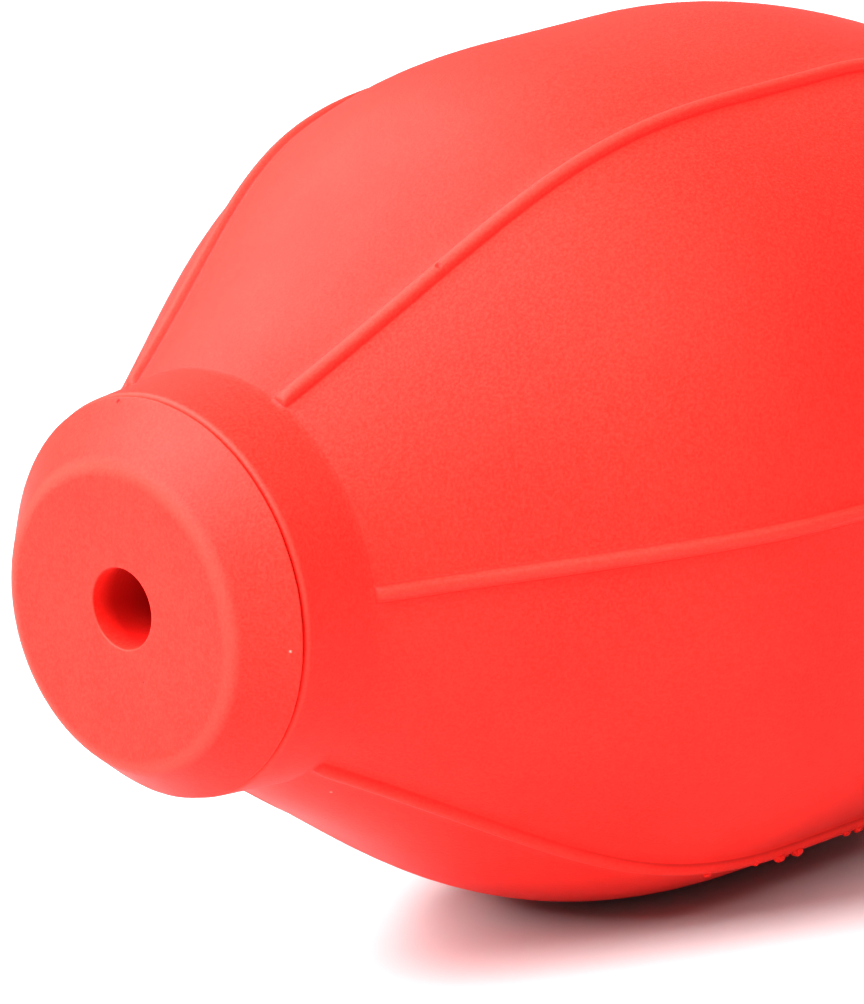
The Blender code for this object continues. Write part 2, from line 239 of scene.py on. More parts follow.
def outlineMesh(name, rows, ribShare, seamShare, closed):
    # one point for each row, with what the tree needs to know about it
    area = sum(a[0] * b[1] - b[0] * a[1] for a, b in zip(rows, rows[1:] + rows[:1]))
    if area > 0:
        rows = rows[::-1]
    count = len(rows)
    facing = []
    for i in range(count):
        before = rows[i - 1] if closed or i else rows[0]
        after = rows[(i + 1) % count] if closed or i < count - 1 else rows[-1]
        way = Vector((after[0] - before[0], after[1] - before[1])).normalized()
        facing.append(Vector((-way.y, way.x)))
    if closed:
        rows, facing = rows + rows[:1], facing + facing[:1]
    mesh = bpy.data.meshes.new(name + "Outline")
    points = [(s * mm, r * mm, 0.0) for s, r, wear in rows]
    mesh.from_pydata(points, [(i, i + 1) for i in range(len(rows) - 1)], [])
    kept = {
        "ribShare": [ribShare(row[0], row[1], face) for row, face in zip(rows, facing)],
        "seamShare": [seamShare(row[0], row[1], face) for row, face in zip(rows, facing)],
        "wear": [row[2] for row in rows],
    }
    for label, values in kept.items():
        mesh.attributes.new(label, "FLOAT", "POINT").data.foreach_set("value", values)
    outward = mesh.attributes.new("outward", "FLOAT_VECTOR", "POINT")
    outward.data.foreach_set("vector", [n for face in facing for n in (face.x, face.y, 0.0)])
    return mesh


def turnedTree():
    # sweeps an outline round the axis. Columns crowd together across each rib, so that a rib
    # keeps its width at every radius, and the rib's height follows the section curve
    tree, given = newGeometryTree("turned with ribs", (
        ("Outline", "Geometry"), ("Rib Count", "Int"), ("Across Rib", "Int"), ("Between Ribs", "Int"),
        ("Rib Width", "Float"), ("Rib Height", "Float"), ("First Rib", "Float"), ("Axis Spot", "Vector"),
        ("Seam Waver", "Float"), ("Seam Lean", "Float"), ("Lean Towards", "Float"), ("Seed", "Float"),
        ("Finish", "Material"),
    ))
    outlineSize = addNode(tree, "GeometryNodeAttributeDomainSize", {"Geometry": given["Outline"]})
    rows = outlineSize.outputs["Point Count"]
    halfSector = wholeCalc(tree, "ADD", given["Across Rib"], given["Between Ribs"])
    sector = wholeCalc(tree, "MULTIPLY", halfSector, 2)
    columns = wholeCalc(tree, "MULTIPLY", sector, given["Rib Count"])
    sheet = addNode(tree, "GeometryNodeMeshGrid", {
        "Vertices X": wholeCalc(tree, "ADD", columns, 1), "Vertices Y": rows})
    index = addNode(tree, "GeometryNodeInputIndex").outputs[0]
    row = wholeCalc(tree, "MODULO", index, rows)
    column = wholeCalc(tree, "DIVIDE_FLOOR", index, rows)

    def fromOutline(label, kind):
        if label == "Position":
            field = addNode(tree, "GeometryNodeInputPosition").outputs[0]
        else:
            named = addNode(tree, "GeometryNodeInputNamedAttribute", {"Name": label}, data_type=kind)
            field = named.outputs[0]
        return addNode(tree, "GeometryNodeSampleIndex", {
            "Geometry": given["Outline"], "Value": field, "Index": row}, data_type=kind).outputs[0]

    spot = addNode(tree, "ShaderNodeSeparateXYZ", {"Vector": fromOutline("Position", "FLOAT_VECTOR")})
    facing = addNode(tree, "ShaderNodeSeparateXYZ", {"Vector": fromOutline("outward", "FLOAT_VECTOR")})
    ribShare = fromOutline("ribShare", "FLOAT")
    seamShare = fromOutline("seamShare", "FLOAT")
    wear = fromOutline("wear", "FLOAT")

    # angle of each column
    place = wholeCalc(tree, "SUBTRACT", wholeCalc(tree, "MODULO", column, sector), halfSector)
    away = calc(tree, "ABSOLUTE", place)
    sectorAngle = calc(tree, "DIVIDE", math.tau, given["Rib Count"])
    halfAngle = calc(tree, "MULTIPLY", sectorAngle, 0.5)
    ribAngle = calc(tree, "DIVIDE", calc(tree, "MULTIPLY", given["Rib Width"], 0.5), spot.outputs["Y"])
    ribAngle = calc(tree, "MINIMUM", ribAngle, calc(tree, "MULTIPLY", halfAngle, 0.8))
    ribPart = remap(tree, away, 0.0, given["Across Rib"], 0.0, ribAngle)
    openAngle = calc(tree, "SUBTRACT", halfAngle, ribAngle)
    restPart = remap(tree, away, given["Across Rib"], halfSector, 0.0, openAngle)
    offset = calc(tree, "MULTIPLY", calc(tree, "ADD", ribPart, restPart), calc(tree, "SIGN", place))
    middle = calc(tree, "MULTIPLY", wholeCalc(tree, "DIVIDE_FLOOR", column, sector), sectorAngle)
    angle = calc(tree, "ADD", calc(tree, "ADD", middle, given["First Rib"]), offset)

    # height of the rib there
    outFromMiddle = remap(tree, away, 0.0, given["Across Rib"], 0.0, 1.0)
    section = addNode(tree, "ShaderNodeFloatCurve", {"Value": outFromMiddle})
    line = section.mapping.curves[0]
    line.points[0].location = (0.0, 1.0)
    line.points[1].location = (1.0, 0.0)
    for knot in ((0.3, 0.93), (0.5, 0.76), (0.66, 0.46), (0.8, 0.16), (0.9, 0.04)):
        line.points.new(*knot)
    section.mapping.update()
    crest = calc(tree, "MULTIPLY", section.outputs[0], ribShare)
    height = calc(tree, "MULTIPLY", crest, given["Rib Height"])

    # the moulded edge at a seam runs a little out of true
    rim = vector(tree, calc(tree, "COSINE", angle), calc(tree, "SINE", angle), 0.0)
    slow = addNode(tree, "ShaderNodeTexNoise", {
        "Vector": rim, "W": given["Seed"], "Scale": 3.5, "Detail": 3.0, "Roughness": 0.6,
    }, noise_dimensions="4D")
    ragged = addNode(tree, "ShaderNodeTexNoise", {
        "Vector": rim, "W": given["Seed"], "Scale": 42.0, "Detail": 2.0}, noise_dimensions="4D")
    waver = calc(tree, "ADD", calc(tree, "SUBTRACT", slow.outputs["Fac"], 0.5),
                 calc(tree, "MULTIPLY", calc(tree, "SUBTRACT", ragged.outputs["Fac"], 0.5), 0.45))
    waver = calc(tree, "MULTIPLY", waver, given["Seam Waver"])
    lean = calc(tree, "MULTIPLY", calc(tree, "COSINE", calc(tree, "SUBTRACT", angle, given["Lean Towards"])),
                given["Seam Lean"])
    shift = calc(tree, "MULTIPLY", calc(tree, "ADD", waver, lean), seamShare)

    station = calc(tree, "ADD", spot.outputs["X"], calc(tree, "MULTIPLY", facing.outputs["X"], height))
    station = calc(tree, "ADD", station, shift)
    radius = calc(tree, "ADD", spot.outputs["Y"], calc(tree, "MULTIPLY", facing.outputs["Y"], height))
    around = vector(tree, station, calc(tree, "MULTIPLY", radius, calc(tree, "SINE", angle)),
                    calc(tree, "MULTIPLY", radius, calc(tree, "COSINE", angle)))
    marked = setPoints(tree, sheet, around, given["Axis Spot"])
    for label, value in (("crest", crest), ("edgeWear", wear)):
        marked = addNode(tree, "GeometryNodeStoreNamedAttribute", {
            "Geometry": marked.outputs[0], "Name": label, "Value": value}, data_type="FLOAT", domain="POINT")
    finishTree(tree, weld(tree, marked), given["Finish"])
    return tree


plainRibs = {"count": 8, "across": 4, "between": 6, "width": 0.5, "height": 0.0, "first": 0.0}


def turn(name, rows, look, ribs=plainRibs, ribShare=None, seamShare=None, seam=None, closed=True):
    never = lambda s, r, face: 0.0
    mesh = outlineMesh(name, rows, ribShare or never, seamShare or never, closed)
    seam = seam or {"waver": 0.0, "lean": 0.0, "towards": 0.0, "seed": 0.0}
    return growPiece(name, turnedPieces, {
        "Rib Count": ribs["count"], "Across Rib": ribs["across"], "Between Ribs": ribs["between"],
        "Rib Width": ribs["width"] * mm, "Rib Height": ribs["height"] * mm,
        "First Rib": math.radians(ribs["first"]), "Axis Spot": axisSpot,
        "Seam Waver": seam["waver"] * mm, "Seam Lean": seam["lean"] * mm,
        "Lean Towards": math.radians(seam["towards"]), "Seed": seam["seed"], "Finish": look,
    }, mesh)


turnedPieces = turnedTree()
print("turning tree ready")


# finishes

def newFinish(name):
    look = bpy.data.materials.new(name)
    look.use_nodes = True
    tree = look.node_tree
    return look, tree, tree.nodes["Principled BSDF"]


def objectPoint(tree):
    return addNode(tree, "ShaderNodeTexCoord").outputs["Object"]


def noise(tree, point, size, detail=2.0, roughness=0.5):
    # size is in millimetres
    return addNode(tree, "ShaderNodeTexNoise", {
        "Vector": point, "Scale": 1 / (size * mm), "Detail": detail, "Roughness": roughness}).outputs["Fac"]


def mixColours(tree, share, first, second):
    made = addNode(tree, "ShaderNodeMix", data_type="RGBA")
    feed(tree, made.inputs["Factor"], share)
    feed(tree, made.inputs[6], first)
    feed(tree, made.inputs[7], second)
    return made.outputs[2]


def bumps(tree, layers):
    # each layer is (height, depth in millimetres, strength), one on top of the other
    normal = None
    for height, depth, strength in layers:
        normal = addNode(tree, "ShaderNodeBump", {
            "Height": height, "Distance": depth * mm, "Strength": strength, "Normal": normal}).outputs[0]
    return normal


def coat(tree, surface, colour, roughness, layers):
    feed(tree, surface.inputs["Base Color"], colour)
    feed(tree, surface.inputs["Roughness"], roughness)
    feed(tree, surface.inputs["Normal"], bumps(tree, layers))


def attribute(tree, label):
    return addNode(tree, "ShaderNodeAttribute", attribute_name=label).outputs["Fac"]


rubberSet = {
    "colour": (0.85, 0.0120, 0.0070, 1.0),
    "deep": (0.74, 0.0075, 0.0045, 1.0),
    "bloom": (0.88, 0.0520, 0.0360, 1.0),   # the paler tone of handled rubber
    "shade": (0.42, 0.0030, 0.0020, 1.0),   # painted shade, at the foot of a rib and down in the air hole
    "roughness": (0.50, 0.62), "gloss": 0.10,
    "sheen": 0.03, "sheenRoughness": 0.4, "sheenTint": (1.0, 0.62, 0.55, 1.0),
    # sizes and depths of the patterns, in millimetres
    "swell": 7.0, "blotch": 11.0, "fleck": 0.42, "grain": 0.17,
    "swellDepth": 0.10, "fleckDepth": 0.03, "grainDepth": 0.026, "dentDepth": 0.12,
    # how much of each tone, and of the painted shade at a rib's foot, shows at most
    "deepShare": 0.55, "fleckShare": 0.30, "grainShare": 0.22, "footShadeShare": 0.55,
    "crestWear": 0.22, "edgeWear": 0.30,
    # radii and stations, in millimetres, over which the painted shade in the air hole fades in
    "hole": (2.36, 2.46), "holeDepth": (0.1, 1.6),
}


def distanceFromAxis(tree, parts):
    rise = calc(tree, "SUBTRACT", parts.outputs["Z"], axisHeight)
    squares = calc(tree, "ADD", calc(tree, "POWER", rise, 2.0), calc(tree, "POWER", parts.outputs["Y"], 2.0))
    return calc(tree, "SQRT", squares)


def makeRedRubber(blemishes):
    size = rubberSet
    plain, deep, bloom, shade = size["colour"], size["deep"], size["bloom"], size["shade"]
    look, tree, surface = newFinish("redRubber")
    point = objectPoint(tree)
    blotch = noise(tree, point, size["blotch"], 4.0, 0.55)
    grain = noise(tree, point, size["grain"], 3.0, 0.6)
    fleck = noise(tree, point, size["fleck"], 1.0)
    colour = mixColours(tree, remap(tree, blotch, 0.35, 0.7, 0.0, size["deepShare"]), plain, deep)
    colour = mixColours(tree, remap(tree, fleck, 0.68, 0.74, 0.0, size["fleckShare"]), colour, deep)
    # paler where it is touched
    crest = attribute(tree, "crest")
    handled = calc(tree, "ADD", calc(tree, "MULTIPLY", crest, size["crestWear"]),
                   calc(tree, "MULTIPLY", attribute(tree, "edgeWear"), size["edgeWear"]))
    handled = calc(tree, "MULTIPLY", handled, remap(tree, blotch, 0.3, 0.6, 0.5, 1.0))
    colour = mixColours(tree, handled, colour, bloom)
    colour = mixColours(tree, remap(tree, grain, 0.35, 0.65, 0.0, size["grainShare"]), colour, bloom)
    # painted shade along the foot of each rib and down the hole
    footShadeStart = remap(tree, crest, 0.01, 0.10, 0.0, size["footShadeShare"])
    footShade = calc(tree, "MULTIPLY", footShadeStart, remap(tree, crest, 0.12, 0.45, 1.0, 0.0))
    colour = mixColours(tree, footShade, colour, shade)
    parts = addNode(tree, "ShaderNodeSeparateXYZ", {"Vector": point})
    inner, outer = size["hole"]
    shallow, far = size["holeDepth"]
    # painted shade inside the air hole, growing darker the deeper it goes
    hole = remap(tree, distanceFromAxis(tree, parts), inner * mm, outer * mm, 1.0, 0.0)
    depth = remap(tree, parts.outputs["X"], rearFace + shallow * mm, rearFace + far * mm, 0.0, 1.0)
    colour = mixColours(tree, calc(tree, "MULTIPLY", hole, depth), colour, shade)
    dents = 0.0
    # each fault's tone is mixed in and its bump raised or sunk; for the pit and the notch that tone is
    # painted shade
    for spot, radius, tone, rise in blemishes:
        away = twoIn(tree, "ShaderNodeVectorMath", "DISTANCE", point, spot)["Value"]
        mark = remap(tree, away, radius * mm * 0.55, radius * mm, 1.0, 0.0)
        colour = mixColours(tree, mark, colour, tone)
        dents = calc(tree, "ADD", dents, calc(tree, "MULTIPLY", mark, rise))
    patchy = calc(tree, "ADD", blotch, calc(tree, "MULTIPLY", grain, 0.5))
    coat(tree, surface, colour, remap(tree, patchy, 0.5, 1.0, *size["roughness"]), [
        (noise(tree, point, size["swell"], 2.0), size["swellDepth"], 0.25),
        (grain, size["grainDepth"], 0.7),
        (fleck, size["fleckDepth"], 0.35),
        (dents, size["dentDepth"], 1.0),
    ])
    surface.inputs["Specular IOR Level"].default_value = size["gloss"]
    surface.inputs["Sheen Weight"].default_value = size["sheen"]
    surface.inputs["Sheen Roughness"].default_value = size["sheenRoughness"]
    surface.inputs["Sheen Tint"].default_value = size["sheenTint"]
    return look


sealRubberSet = {
    "colour": (0.018, 0.018, 0.019, 1), "dusty": (0.052, 0.050, 0.048, 1), "dustShare": 0.5,
    "grain": 0.12, "grainDepth": 0.01, "dust": 0.9, "roughness": (0.38, 0.58),
}


def makeBlackRubber():
    size = sealRubberSet
    look, tree, surface = newFinish("blackRubber")
    point = objectPoint(tree)
    grain = noise(tree, point, size["grain"], 3.0, 0.6)
    dust = noise(tree, point, size["dust"], 4.0, 0.65)
    dusted = remap(tree, dust, 0.5, 0.72, 0.0, size["dustShare"])
    colour = mixColours(tree, dusted, size["colour"], size["dusty"])
    rough = remap(tree, grain, 0.3, 0.7, *size["roughness"])
    coat(tree, surface, colour, rough, [(grain, size["grainDepth"], 0.4)])
    return look


plasticSet = {
    "colour": (0.017, 0.017, 0.018, 1), "cloudy": (0.028, 0.028, 0.030, 1), "worn": (0.085, 0.083, 0.082, 1),
    "wornShare": 0.35, "wornPolish": 0.1, "roughness": (0.36, 0.48),
    "grain": 0.14, "grainDepth": 0.012, "cloud": 6.0,
    "parting": (0.03, 0.11), "partingDepth": 0.05,   # the line where the mould's halves met
}


def makeBlackPlastic():
    # fine spark-eroded mould texture, rubbed smoother on its edges
    size = plasticSet
    look, tree, surface = newFinish("blackPlastic")
    point = objectPoint(tree)
    grain = noise(tree, point, size["grain"], 2.0, 0.5)
    cloud = noise(tree, point, size["cloud"], 4.0, 0.6)
    colour = mixColours(tree, remap(tree, cloud, 0.35, 0.7, 0.0, 1.0), size["colour"], size["cloudy"])
    worn = calc(tree, "MULTIPLY", attribute(tree, "edgeWear"), remap(tree, cloud, 0.4, 0.6, 0.2, 1.0))
    colour = mixColours(tree, calc(tree, "MULTIPLY", worn, size["wornShare"]), colour, size["worn"])
    parts = addNode(tree, "ShaderNodeSeparateXYZ", {"Vector": point})
    aside = calc(tree, "ABSOLUTE", parts.outputs["Y"])
    narrow, wide = size["parting"]
    parting = remap(tree, aside, narrow * mm, wide * mm, 1.0, 0.0)
    polish = calc(tree, "MULTIPLY", worn, size["wornPolish"])
    rough = calc(tree, "SUBTRACT", remap(tree, cloud, 0.3, 0.7, *size["roughness"]), polish)
    layers = [(parting, size["partingDepth"], 0.8), (grain, size["grainDepth"], 0.45)]
    coat(tree, surface, colour, rough, layers)
    return look


turnedSet = {"ring": 0.05, "ringDepth": 0.004, "cloud": 2.2, "tarnish": 0.4, "skew": 1.37, "brighter": 1.12}
aluminiumSet = {"colour": (0.70, 0.71, 0.73, 1), "dull": (0.52, 0.53, 0.55, 1), "roughness": 0.30}
brassSet = {"colour": (0.73, 0.50, 0.20, 1), "dull": (0.42, 0.27, 0.11, 1), "roughness": 0.30}


def makeTurnedMetal(name, metal):
    # lathe rings follow the outline, because station and radius together change along every surface
    size = turnedSet
    look, tree, surface = newFinish(name)
    point = objectPoint(tree)
    parts = addNode(tree, "ShaderNodeSeparateXYZ", {"Vector": point})
    skewed = calc(tree, "MULTIPLY", distanceFromAxis(tree, parts), size["skew"])
    along = vector(tree, calc(tree, "ADD", parts.outputs["X"], skewed), 0.0, 0.0)
    rings = noise(tree, along, size["ring"], 3.0, 0.7)
    cloud = noise(tree, point, size["cloud"], 4.0, 0.6)
    tarnished = remap(tree, cloud, 0.42, 0.68, 0.0, size["tarnish"])
    tint = mixColours(tree, tarnished, metal["colour"], metal["dull"])
    polished = tuple(min(1.0, size["brighter"] * c) for c in metal["colour"][:3]) + (1.0,)
    bright = mixColours(tree, calc(tree, "MULTIPLY", attribute(tree, "edgeWear"), 0.35), tint, polished)
    ringed = remap(tree, rings, 0.3, 0.7, metal["roughness"] * 0.75, metal["roughness"] * 1.25)
    rough = calc(tree, "ADD", ringed, remap(tree, cloud, 0.45, 0.7, 0.0, 0.12))
    coat(tree, surface, bright, rough, [(rings, size["ringDepth"], 0.5)])
    surface.inputs["Metallic"].default_value = 1.0
    return look


steelSet = {
    "colour": (0.62, 0.61, 0.60, 1), "dull": (0.48, 0.47, 0.46, 1), "dullShare": 0.6,
    "scratch": 0.25, "scratchDepth": 0.003, "cloud": 1.4, "roughness": (0.16, 0.34),
}


def makeSteel():
    size = steelSet
    look, tree, surface = newFinish("brightSteel")
    point = objectPoint(tree)
    scratch = noise(tree, point, size["scratch"], 5.0, 0.7)
    cloud = noise(tree, point, size["cloud"], 3.0)
    dulled = remap(tree, cloud, 0.4, 0.7, 0.0, size["dullShare"])
    colour = mixColours(tree, dulled, size["colour"], size["dull"])
    rough = remap(tree, scratch, 0.35, 0.7, *size["roughness"])
    coat(tree, surface, colour, rough, [(scratch, size["scratchDepth"], 0.3)])
    surface.inputs["Metallic"].default_value = 1.0
    return look


def onAxis(station, radius, angle):
    # a point in the frame, from a station and radius in millimetres. The angle runs from straight up
    # towards +Y
    turned = math.radians(angle)
    return axisSpot + Vector((station, radius * math.sin(turned), radius * math.cos(turned))) * mm


blackRubber = makeBlackRubber()
blackPlastic = makeBlackPlastic()
aluminium = makeTurnedMetal("turnedAluminium", aluminiumSet)
brass = makeTurnedMetal("turnedBrass", brassSet)
steel = makeSteel()
print("finishes ready")


# the rubber bulb

bulbSet = {
    "neckStart": 2.97, "rearJoint": 7.8, "belly": 42.6, "frontJoint": 79.8, "neckEnd": 85.8,
    "bellyRadius": 25.0, "bellyFlat": 4.5,       # half length of the straight stretch
    "wall": 2.2,
    "rearSlope": 31.0, "rearHandles": (16.0, 13.3), "rearNeck": 11.8, "rearRim": 11.4, "rearBore": 8.3,
    "frontSlope": 48.0, "frontHandles": (10.0, 11.5), "frontNeck": 9.5, "frontBore": 5.7,
    "neckRounding": 0.3, "beadRoom": 0.8, "ribStart": 0.7,
    "skinRows": 92, "wallRows": 26,
}
beadGap = 0.3   # between the bulb's inner wall and the bead that snaps in behind it
bulbRibs = {"count": 6, "across": 9, "between": 11, "width": 1.22, "height": 0.45, "first": 30.0}
bulbSeam = {"reach": 0.6, "waver": 0.10, "lean": -0.03, "towards": 285.0, "seed": 2.4}


def skinLine(end, inset, count, fineEnd=()):
    # from a neck to the belly's straight stretch, inset by the wall's thickness
    size = bulbSet
    way = 1 if end == "rear" else -1
    slope = math.radians(size[end + "Slope"])
    reach = size[end + "Handles"]
    neck = Vector((size[end + "Joint"], size[end + "Neck"]))
    neck += Vector((way * math.sin(slope), -math.cos(slope))) * inset
    flat = Vector((size["belly"] - way * size["bellyFlat"], size["bellyRadius"] - inset))
    first = neck + Vector((way * math.cos(slope), math.sin(slope))) * reach[0]
    second = flat - Vector((way * reach[1], 0.0))
    steps = [i / count for i in range(count + 1)]
    steps = sorted(steps + [near / (3 * reach[0]) for near in fineEnd])
    line = []
    for t in steps:
        u = 1 - t
        spot = neck * u ** 3 + first * 3 * t * u ** 2 + second * 3 * t * t * u + flat * t ** 3
        line.append((spot.x, spot.y, 0.0))
    return line


def skinRadius(station):
    end = "rear" if station < bulbSet["belly"] else "front"
    return min(skinLine(end, 0.0, 200), key=lambda row: abs(row[0] - station))[1]


# small moulding faults: where they sit, their size, tone and depth. The dark tones of the pit and the notch
# are painted shade in their hollows
faults = {
    "pit by the seam": (onAxis(2.45, 11.1, 6.0), 0.16, (0.20, 0.006, 0.004, 1.0), -1.0),
    "nick in the cap": (onAxis(2.2, 10.85, 259.5), 0.13, (0.90, 0.16, 0.12, 1.0), 0.5),
    "speck on the face": (onAxis(0.0, 4.2, 196.0), 0.09, (0.40, 0.008, 0.005, 1.0), -0.4),
    "notch in a rib": (onAxis(17.7, skinRadius(17.7) + 0.35, 330.0), 0.24, (0.34, 0.008, 0.006, 1.0), -1.0),
    "speck below": (onAxis(10.0, skinRadius(10.0), 200.0), 0.11, (0.90, 0.20, 0.15, 1.0), 0.4),
}
redRubber = makeRedRubber(faults.values())


def wallLine(end):
    # the inner wall starts where the bead of the cap or socket has room behind the neck's land
    bore = bulbSet[end + "Bore"] + bulbSet["beadRoom"]
    return [row for row in skinLine(end, bulbSet["wall"], bulbSet["wallRows"] * 4) if row[1] > bore][::4]


# crumbs of flash left along the lowest ribs, where the mould's halves met
flashSet = {
    "seed": 11, "ribAngles": (210.0, 150.0), "stations": (33.0, 52.0), "count": 9,
    "sizes": (0.10, 0.22), "aside": 0.5,
    "largest": ((36.8, 210.0, 0.28), (38.4, 210.0, 0.30), (31.2, 209.5, 0.20)),   # station, angle, radius
    "lumpiness": 0.35, "lump": 0.3, "stretch": 1.5, "sunk": 0.02,
}


def makeFlash():
    size = flashSet
    dice = random.Random(size["seed"])
    crumbs = list(size["largest"])
    for angle in size["ribAngles"]:
        for k in range(size["count"]):
            lean = angle + dice.uniform(-size["aside"], size["aside"])
            crumbs.append((dice.uniform(*size["stations"]), lean, dice.uniform(*size["sizes"])))
    made = []
    for i, (station, angle, radius) in enumerate(crumbs):
        shape = bmesh.new()
        bmesh.ops.create_icosphere(shape, subdivisions=3, radius=radius * mm)
        for point in shape.verts:
            place = point.co / (size["lump"] * mm) + Vector((i, 0, 0))
            point.co *= 1 + size["lumpiness"] * hetero_terrain(place, 1.0, 2.0, 3, 0.0)
            point.co.x *= size["stretch"]
            point.co += onAxis(station, skinRadius(station) + bulbRibs["height"] - size["sunk"], angle)
        for face in shape.faces:
            face.smooth = True
        mesh = bpy.data.meshes.new("crumb")
        shape.to_mesh(mesh)
        shape.free()
        made.append(addObject("crumb", mesh))
    return made


def nearSeam(station, seam):
    # full at the seam's edge, and none on the bores inside it
    return lambda s, r, face: max(0.0, 1 - abs(s - station) / seam["reach"]) if r > 9 else 0.0


def makeBulb():
    size = bulbSet
    blunt = (0.07, 0.14, 0.22, 0.32)   # extra rows where the ribs start
    outside = skinLine("rear", 0.0, size["skinRows"], blunt)
    outside += skinLine("front", 0.0, size["skinRows"], blunt)[::-1]
    rearWall, frontWall = wallLine("rear"), wallLine("front")
    corners = [
        (rearWall[0][0], size["rearBore"], 0.0),
        (size["neckStart"], size["rearBore"], 0.25),
        (size["neckStart"], size["rearRim"], size["neckRounding"]),
    ]
    corners += outside
    corners += [
        (size["neckEnd"], size["frontNeck"], size["neckRounding"]),
        (size["neckEnd"], size["frontBore"], 0.25),
        (frontWall[0][0], size["frontBore"], 0.0),
    ]
    corners += frontWall + rearWall[::-1]
    rows = roundOff(corners, steps=6, spacing=0.55)

    def ribShare(s, r, face):
        # each rib rises over a short way where the skin leaves a neck
        inside = min(s - size["rearJoint"], size["frontJoint"] - s)
        if face.y < 0.3 or inside < 0:
            return 0.0
        reach = min(inside / size["ribStart"], 1.0)
        return math.sqrt(1 - (1 - reach) ** 2)

    seamShare = nearSeam(size["neckStart"], bulbSeam)
    skin = turn("skin", rows, redRubber, bulbRibs, ribShare, seamShare, bulbSeam)
    bulb = joinPieces("ribbedBulb", [skin] + makeFlash())
    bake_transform(bulb)
    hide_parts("bulb")
    print("bulb:", len(bulb.data.polygons), "faces")


makeBulb()


# the rubber intake cap, plugged into the rear neck

capSet = {
    "thickness": 2.80, "rim": 11.4, "faceCorner": 8.6, "edge": 1.6, "hole": 2.3, "holeDepth": 4.6,
    "stem": 8.0, "pocket": 4.8, "bead": 0.8, "beadLength": 1.4,
    "slump": (0.35, -0.60), "slumpFrom": 3.5, "slumpOver": 4.5,
}
capRibs = {"count": 8, "across": 8, "between": 22, "width": 2.0, "height": 0.0, "first": 0.0}
capSeam = {"reach": 0.45, "waver": 0.13, "lean": -0.05, "towards": 285.0, "seed": 7.1}


def makeIntakeCap():
    size = capSet
    stemEnd = wallLine("rear")[0][0] + beadGap + size["beadLength"]
    bead = size["stem"] + size["bead"]
    rows = roundOff([
        (0.0, size["hole"], 0.12),
        (0.0, size["faceCorner"], size["edge"]),
        (size["thickness"], size["rim"], 0.09),
        (size["thickness"], size["stem"], 0.2),
        (stemEnd - size["beadLength"], size["stem"], 0.1),
        (stemEnd - size["beadLength"], bead, 0.15),
        (stemEnd - size["beadLength"] / 2, bead, 0.3),
        (stemEnd, size["stem"], 0.3),
        (stemEnd, size["pocket"], 0.15),
        (size["holeDepth"], size["pocket"], 0.1),
        (size["holeDepth"], size["hole"], 0.1),
    ], steps=9, spacing=0.4)
    seamShare = nearSeam(size["thickness"], capSeam)
    cap = turn("intakeCap", rows, redRubber, capRibs, None, seamShare, capSeam)
    # the face was moulded a little low and to one side of the hole
    sideways, upwards = size["slump"]
    for point in cap.data.vertices:
        place = (point.co - axisSpot) / mm
        radius = math.hypot(place.y, place.z)
        outwards = min(max((radius - size["slumpFrom"]) / size["slumpOver"], 0.0), 1.0)
        share = max(0.0, 1 - place.x / size["thickness"]) * outwards
        point.co += Vector((0.0, sideways, upwards)) * share * mm
    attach(cap, "bulb_body")
    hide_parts("intake_cap")


makeIntakeCap()
print("intake cap ready")


# the intake valve: gauze, turned body, ball, spring and retainer

gauzeSet = {"wires": 17, "pitch": 0.49, "wire": 0.085, "disc": 4.12, "points": 84, "station": 5.1}
gauzeRimSet = {"start": 4.92, "end": 5.28, "inner": 3.95, "outer": 4.48}


def wireAlong(tree, path, radius, sides):
    curve = addNode(tree, "GeometryNodeMeshToCurve", {"Mesh": path.outputs[0]})
    section = circle(tree, sides, radius).outputs[0]
    return addNode(tree, "GeometryNodeCurveToMesh", {
        "Curve": curve.outputs[0], "Profile Curve": section, "Fill Caps": True}).outputs[0]


